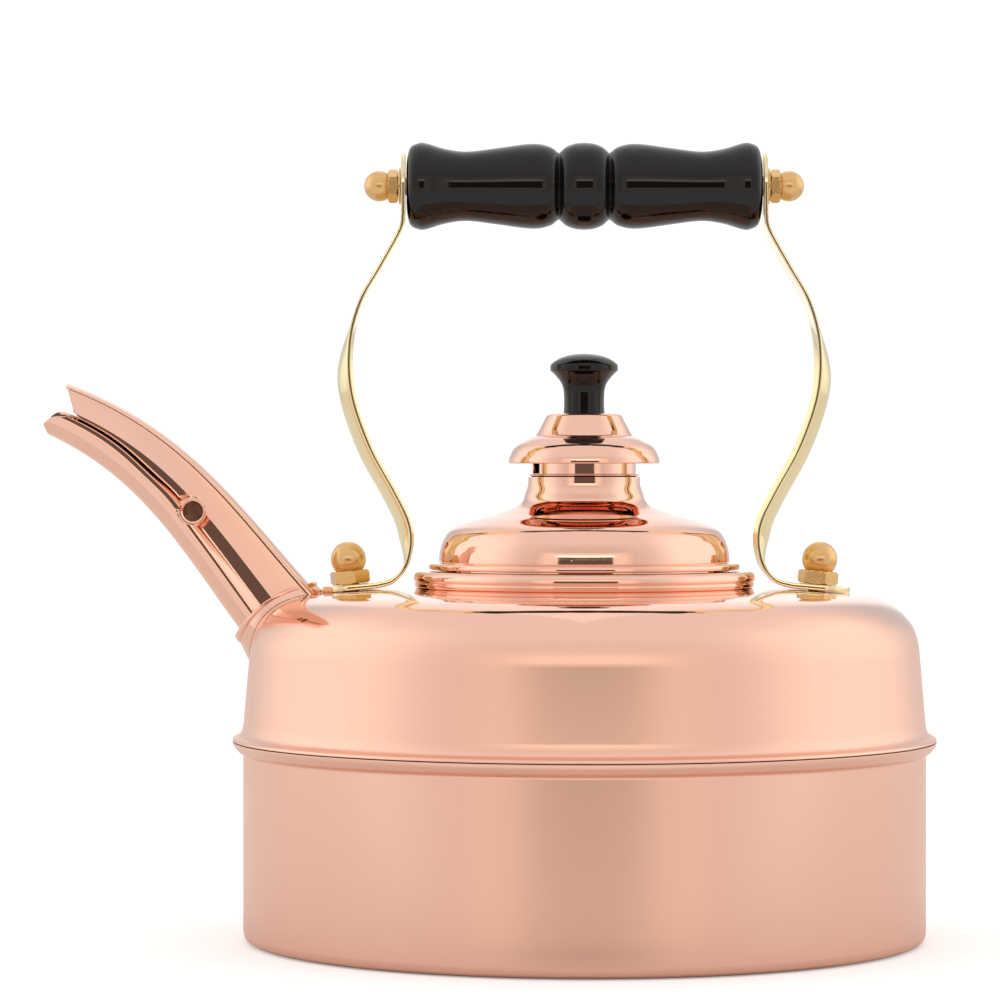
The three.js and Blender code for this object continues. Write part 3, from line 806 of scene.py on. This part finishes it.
angle = np.linspace(0, 2 * np.pi, 160, endpoint=False)
ring_rows = softened([(2.3, 0, 0), (2.0, 1.4, 0.5), (1.5, 3.2, 0.5), (1.9, 3.6, 0.2),
                      (1.9, 4.8, 0.4), (0.9, 5.1, 0.3), (-0.2, 4.4, 0.4), (-0.2, 0, 0)])
base_height = meets_shell(angle, 1.0, 2.3) + 0.1
inner_height = meets_shell(angle, 1.0, -0.2) + 0.1
share = ring_rows[:, 1:] / 5.1
foot_height = base_height + (inner_height - base_height) * np.clip(
    (2.3 - ring_rows[:, :1]) / 2.5, 0, 1)
heights = foot_height * (1 - share) + 2.3 * share
ring = np.stack([ring_point(angle, 1.0, row[0], h) for row, h in zip(ring_rows, heights)])
fit(piece("spout_ring", ring, loop_rows=True), "kettle_body", "polished_copper",
    mirror_finish, "spout_collar")

# %% [markdown]
# ## The handle
#
# Each strap is one strip of brass bent along a curve. Flat where it is bolted and pressed
# into a shallow channel between, it is stiff where it needs to be. The surface is the curve,
# moved out by the thickness and by a bow that is largest in the middle of the width.

# %% Straps
STRAP_T = 1.2
TAB_X = 51.5


def strap_line(tip):
    """Inner line of a strap from the tab's round top to the tip of its foot."""
    run = STRAP_HALF * (1 - np.cos(np.linspace(0.09, np.pi / 2, 16)))
    tab = np.column_stack([0 * run + TAB_X, STRAP_TOP - run])
    bow = through([(TAB_X, 209), (52.4, 204.2), (58.1, 193.8), (63.9, 183.4), (66.8, 171.5),
                   (66.2, 157.3), (61.2, 142.5), (54.6, 130.3), (50.2, 121.2), (49.2, 114.5),
                   (50.9, 107.4), (54.6, 103.3), (59.5, 101.85)], 130)
    out = np.array([59.5, 101.85])
    end = np.array([tip, 100.35])
    length = np.linalg.norm(end - out)
    back = np.r_[np.linspace(length, STRAP_HALF, 6)[1:-1],
                 STRAP_HALF * (1 - np.cos(np.linspace(np.pi / 2, 0.09, 16)))]
    toe = end + (out - end) * (back / length)[:, None]
    return np.vstack([tab, bow, toe])


def strap_grid(side, tip):
    """Rows along the strap, columns round its section: back, edge, front, edge. The foot
    is a little thicker, because its edges are dressed down onto the shoulder."""
    line = strap_line(tip)
    run = np.r_[0, np.cumsum(np.linalg.norm(np.diff(line, axis=0), axis=1))]
    from_end = np.minimum(run, run[-1] - run) + 0.03
    d = np.minimum(from_end, STRAP_HALF)
    half = np.sqrt(STRAP_HALF**2 - (STRAP_HALF - d) ** 2)
    normal = offset(line, 1.0) - line
    lift = np.clip((182 - line[:, 1]) / 22, 0, 1)
    lift = lift**2 * (3 - 2 * lift)
    drop = np.clip((line[:, 1] - 104) / 14, 0, 1)
    bow = 3.4 * lift * drop**2 * (3 - 2 * drop)
    v = np.linspace(-1, 1, 33)
    edge = np.array([0.96, 0.99, 1.0, 1.0, 0.99, 0.96])
    thick = np.array([1.0, 0.93, 0.75, 0.25, 0.07, 0.0])
    across = np.r_[v * 0.96, edge[1:-1], -v * 0.96, -edge[1:-1]]
    through_t = np.r_[0 * v + 1, thick[1:-1], 0 * v, thick[1:-1][::-1]]
    dressed = 0.45 * np.clip((104.5 - line[:, 1]) / 2.5, 0, 1) * (normal[:, 1] > 0.5)
    out = (bow[:, None] * (1 - across**2) + STRAP_T * through_t
           - dressed[:, None] * (1 - through_t))
    x = line[:, :1] + normal[:, :1] * out
    z = line[:, 1:] + normal[:, 1:] * out
    y = half[:, None] * across
    return np.stack([side * x, y, z], -1)


for side, name in ((-1, "left"), (1, "right")):
    tip = np.abs(np.array(edges(f"handle_strap_{name}"))[:, 0]).max()
    fit(piece(f"brass_strap_{name}", strap_grid(side, tip), seal=True, sharp=40),
        "kettle_body", "polished_brass", strap_finish, f"handle_strap_{name}")

# %% [markdown]
# The nuts are a hexagon with a ball on top, turned and milled from one bar. A hexagon in
# polar form is its half width over the cosine of the angle from the middle of a flat; where
# the bar was turned to a cone at the corners, the smaller of the two radii wins, and that
# gives the curved corners of a real nut.


# %% Ball nuts and washers
def ball_nut_grid(across, hex_height, ball_centre, ball_r, segments=192):
    """Grid of a ball nut standing on its seat, with a blind bore underneath."""
    bore = 2.8
    a = np.linspace(0, 2 * np.pi, segments, endpoint=False)
    flat = np.cos((a + np.pi / 6) % (np.pi / 3) - np.pi / 6)
    hexagon = across / 2 / flat
    cone = across / np.sqrt(3)
    z = np.linspace(0, hex_height, 15)
    chamfer = cone - 1.6 * np.clip(0.45 - np.minimum(z, hex_height - z), 0, 1)
    wall = np.minimum(hexagon[None, :], chamfer[:, None])
    neck = ball_r * 0.60
    low = -np.arccos(0.60)
    t = np.linspace(low, np.pi / 2, 40)
    ball = np.column_stack([ball_r * np.cos(t), ball_centre + ball_r * np.sin(t)])
    neck_top = ball[0, 1]
    rows_r = [0, bore, bore, across / 2 - 0.3, *wall, across / 2 - 0.4, neck + 0.35, neck,
              *ball[:, 0]]
    rows_z = [ball_centre, ball_centre, 0, 0, *z, hex_height, hex_height,
              min(hex_height + 0.3, neck_top), *ball[:, 1]]
    r = np.stack([row + 0 * a for row in rows_r])
    height = np.array(rows_z)[:, None] + 0 * a
    return np.stack([r * np.cos(a), r * np.sin(a), height], -1)


def washer_grid(inner, outer, thickness):
    """A flat ring with softened edges standing on its seat."""
    outline = softened([(inner, 0, 0), (outer, 0, 0.12), (outer, thickness, 0.12),
                        (inner, thickness, 0.1), (inner, 0, 0)], 4)
    return turned_grid(outline, 96)


LEAN = np.radians(5.3)
STUD = np.array([67.3, 0, 100.70])
for side, name in ((-1, "left"), (1, "right")):
    up = np.array([side * np.sin(LEAN), 0, np.cos(LEAN)])
    seat = STUD * (side, 1, 1) + up * 1.8
    finish = turned_brass(f"turned_brass_foot_{name}", Vector(seat * MM), Vector(up))
    nut = laid(ball_nut_grid(10.2, 3.8, 7.1, 5.1), seat, up, (np.cos(0.3), np.sin(0.3), 0))
    fit(piece(f"stud_nut_{name}", nut, sharp=24), "kettle_body", "turned_brass", finish,
        f"strap_ball_nut_{name}")
    out = np.array([side, 0.0, 0.0])
    washer_x = edges("handle_washer_right")[0][0]
    place = np.array([side * washer_x, 0, GRIP_Z])
    end_finish = turned_brass(f"turned_brass_end_{name}", Vector(place * MM), Vector(out))
    fit(piece(f"rod_washer_{name}", laid(washer_grid(2.8, 5.2, 0.5), place, out)),
        "kettle_body", "turned_brass", end_finish, f"handle_washer_{name}")
    nut = laid(ball_nut_grid(8.4, 2.9, 5.4, 4.4), place + out * 0.75, out, (0, 1, 0))
    fit(piece(f"rod_nut_{name}", nut, sharp=24), "kettle_body", "turned_brass", end_finish,
        f"handle_ball_nut_{name}")

# %% [markdown]
# The grip is turned between centres: a bead in the middle, two long hollows for the fingers,
# and rounded ends. It is one half outline, mirrored, then turned round the handle's own axis.

# %% Grip
bead = through([(12.6, 0), (12.35, 2.6), (11.4, 5.2), (9.9, 6.95)], 22)
groove = through([(9.9, 6.95), (9.65, 7.3), (9.95, 7.75)], 5)
hollow = through([(9.95, 7.75), (11.3, 9.6), (12.2, 13.0), (12.1, 17.5), (11.0, 25.5),
                  (10.05, 33.8), (10.75, 39.8), (12.3, 45.0)], 70)
end = softened([(12.3, 45.0, 0), (12.75, 47.0, 1.8), (11.7, GRIP_HALF - 0.9, 2.4),
                (8.2, GRIP_HALF, 1.8), (3.1, GRIP_HALF, 0)])
half = np.vstack([bead, groove[1:], hollow[1:], end[1:]])
whole = np.vstack([half[::-1] * (1, -1), half[1:]])
whole = np.vstack([whole, [(3.1, 0)]])
grip = laid(turned_grid(whole, 160), (0, 0, GRIP_Z), (1, 0, 0))
fit(piece("turned_grip", grip, loop_rows=True, sharp=30), "grip", "black_gloss", black_finish,
    "handle_grip")

# %% [markdown]
# The pieces that hold the kettle together are the model's own: studs, backing washers, the
# rod, and the knob's screw and washer. They only need their finish.

# %% Hidden fasteners
brass_plain = turned_brass("turned_brass_stud", Vector((0, 0, 0)), Vector((0, 0, 1)))
for node, finish in (("strap_stud_left", brass_plain), ("strap_stud_right", brass_plain),
                     ("stud_washer_left", steel_finish), ("stud_washer_right", steel_finish),
                     ("handle_rod", steel_finish), ("knob_screw", steel_finish),
                     ("knob_washer", steel_finish)):
    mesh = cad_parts[node].data
    mesh.materials.clear()
    mesh.materials.append(finish)

# %% [markdown]
# ## Studio
#
# Polished metal shows the room more than itself. The room here is a white tent with a bright
# wall on each side, darker behind except straight behind the kettle, and darker and warmer
# on the side that the viewer stands on. There a lamp panel, with a brighter strip along its
# upper part, surrounds the dim opening that the viewer looks through. That gives the walls
# their soft fall from cream at the sides to deeper copper in the middle. The floor is a
# white sheet that glows a little, so it has no horizon.


# %% Floor, room and camera
def studio_floor():
    """A wide white sheet under and behind the kettle, not part of the object."""
    corners = [(-1.2, -0.145), (1.2, -0.145), (1.2, 3), (-1.2, 3)]
    mesh = bpy.data.meshes.new("floor")
    mesh.from_pydata([(x, y, -0.0002) for x, y in corners], [], [[0, 1, 2, 3]])
    floor = bpy.data.objects.new("floor", mesh)
    bpy.context.scene.collection.objects.link(floor)
    material, tree, shader, node = new_material("pale_floor")
    shader.inputs["Base Color"].default_value = (0.74, 0.73, 0.72, 1)
    shader.inputs["Roughness"].default_value = 0.9
    shader.inputs["Specular IOR Level"].default_value = 0.0
    shader.inputs["Emission Color"].default_value = (1, 1, 1, 1)
    seen = node("ShaderNodeLightPath").outputs["Is Camera Ray"]
    tree.links.new(ramp(node, seen, 0, 1, 0, 0.34), shader.inputs["Emission Strength"])
    floor.data.materials.append(material)


TENT = (0.93, 0.93, 0.94, 1)
SIDE_WALL = (1.30, 1.30, 1.27, 1)
BEHIND = (0.66, 0.70, 0.73, 1)
WHITE = (1.1, 1.1, 1.1, 1)
WARM_SIDE = (0.72, 0.64, 0.59, 1)
WARM_LOW = (0.56, 0.42, 0.36, 1)
PANEL = (1.06, 0.99, 0.90, 1)
STRIP = (2.4, 2.4, 2.2, 1)
OPENING = (0.14, 0.115, 0.10, 1)


def room():
    """World light as a function of direction: angle = |atan2(x, -y)| is 0 towards the
    viewer, and z is the sine of the height above the horizon."""
    world = bpy.data.worlds.new("tent")
    bpy.context.scene.world = world
    world.use_nodes = True
    tree = world.node_tree

    def math(operation, first, second=None):
        made = tree.nodes.new("ShaderNodeMath")
        made.operation = operation
        for slot, value in enumerate((first, second)):
            if isinstance(value, (int, float)):
                made.inputs[slot].default_value = value
            elif value is not None:
                tree.links.new(value, made.inputs[slot])
        return made.outputs[0]

    def smooth(value, low, high, start, stop):
        made = tree.nodes.new("ShaderNodeMapRange")
        made.interpolation_type = "SMOOTHSTEP"
        for name, number in zip(("From Min", "From Max", "To Min", "To Max"),
                                (low, high, start, stop)):
            made.inputs[name].default_value = number
        tree.links.new(value, made.inputs["Value"])
        return made.outputs["Result"]

    def mixed(fac, first, second):
        made = tree.nodes.new("ShaderNodeMix")
        made.data_type = "RGBA"
        tree.links.new(fac, made.inputs[0])
        for slot, colour in ((6, first), (7, second)):
            if isinstance(colour, tuple):
                made.inputs[slot].default_value = colour
            else:
                tree.links.new(colour, made.inputs[slot])
        return made.outputs[2]

    way = tree.nodes.new("ShaderNodeTexCoord").outputs["Generated"]
    parts = tree.nodes.new("ShaderNodeSeparateXYZ")
    tree.links.new(way, parts.inputs[0])
    x, y, z = parts.outputs
    angle = math("ABSOLUTE", math("ARCTAN2", x, math("MULTIPLY", y, -1)))

    def patch(side, bottom, top):
        """1 in an area in front of the kettle and 0 outside; each pair is a soft edge."""
        return math("MULTIPLY", smooth(angle, *side, 1, 0),
                    math("MULTIPLY", smooth(z, *top, 1, 0), smooth(z, *bottom, 0, 1)))

    beside = math("MULTIPLY", smooth(angle, 0.9, 1.5, 0, 1), smooth(angle, 2.0, 2.7, 1, 0))
    level = math("MULTIPLY", smooth(z, 0.5, 0.95, 1, 0), smooth(z, -0.25, 0.1, 0, 1))
    colour = mixed(math("MULTIPLY", beside, level), TENT, SIDE_WALL)
    behind = math("MULTIPLY", smooth(angle, 2.2, 2.8, 0, 1), smooth(z, 0.3, 0.7, 1, 0))
    colour = mixed(behind, colour, BEHIND)
    colour = mixed(smooth(angle, 2.84, 3.0, 0, 1), colour, WHITE)
    warm = mixed(smooth(z, -0.12, 0.10, 0, 1), WARM_LOW, WARM_SIDE)
    colour = mixed(patch((0.25, 1.2), (-0.34, -0.06), (0.25, 0.8)), colour, warm)
    colour = mixed(patch((0.52, 0.72), (-0.30, -0.18), (0.36, 0.46)), colour, PANEL)
    colour = mixed(patch((0.32, 0.46), (0.16, 0.18), (0.19, 0.32)), colour, STRIP)
    colour = mixed(patch((0.36, 0.39), (-0.15, -0.13), (0.16, 0.18)), colour, OPENING)
    seen = tree.nodes.new("ShaderNodeLightPath").outputs["Is Camera Ray"]
    colour = mixed(seen, colour, WHITE)
    tree.links.new(colour, tree.nodes["Background"].inputs["Color"])


def camera():
    """A long lens in front, level with the foot of the hood and tilted half a degree down."""
    data = bpy.data.cameras.new("camera")
    data.lens = 147.6
    data.sensor_width = 36
    made = bpy.data.objects.new("camera", data)
    bpy.context.scene.collection.objects.link(made)
    made.location = (-0.0243, -1.185, 0.1365)
    made.rotation_euler = (np.radians(90 - 0.475), 0, 0)
    bpy.context.scene.camera = made


def softbox(name, place, target, width, height, power):
    """A rectangular lamp that faces a point."""
    data = bpy.data.lights.new(name, "AREA")
    data.shape = "RECTANGLE"
    data.size, data.size_y = width, height
    data.energy = power
    made = bpy.data.objects.new(name, data)
    bpy.context.scene.collection.objects.link(made)
    made.location = place
    made.rotation_euler = (Vector(target) - Vector(place)).to_track_quat("-Z", "Y").to_euler()
    made.visible_camera = False
    made.visible_glossy = False


studio_floor()
room()
camera()
softbox("ceiling_softbox", (0, 0.1, 1.6), (0, 0, 0), 1.6, 1.2, 4)
bpy.context.scene.view_settings.view_transform = "Standard"
